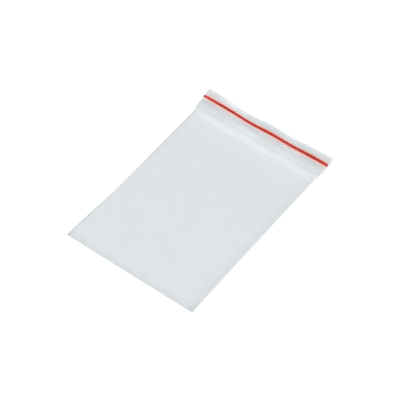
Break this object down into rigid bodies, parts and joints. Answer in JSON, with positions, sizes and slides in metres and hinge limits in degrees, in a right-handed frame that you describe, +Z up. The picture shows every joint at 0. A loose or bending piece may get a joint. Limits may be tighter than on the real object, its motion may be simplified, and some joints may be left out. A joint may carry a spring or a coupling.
{
  "type": "press-to-close bag",
  "caption": "Flat clear film bag with a bottom fold, welded sides, a press-to-close zip and a raised red line beside it.",
  "frame": {"origin": "centre of the bounding box's bottom: under the back wall, midway across the zip and midway from bottom fold to lips", "axes": "+X across the bag, +Y from the bottom fold to the mouth, +Z up out of the front wall, which carries the red line"},
  "size_m": [0.071, 0.1024, 0.0027],
  "materials": {
    "clear_film": "clear, slightly hazy film",
    "clear_strip": "clear, slightly hazy extruded strip",
    "red_line": "satin"
  },
  "bodies": {
    "root": {"film_pouch": "clear_film", "zip_rib_strip": "clear_strip", "zip_track_strip": "clear_strip", "red_line": "red_line"}
  },
  "joints": []
}
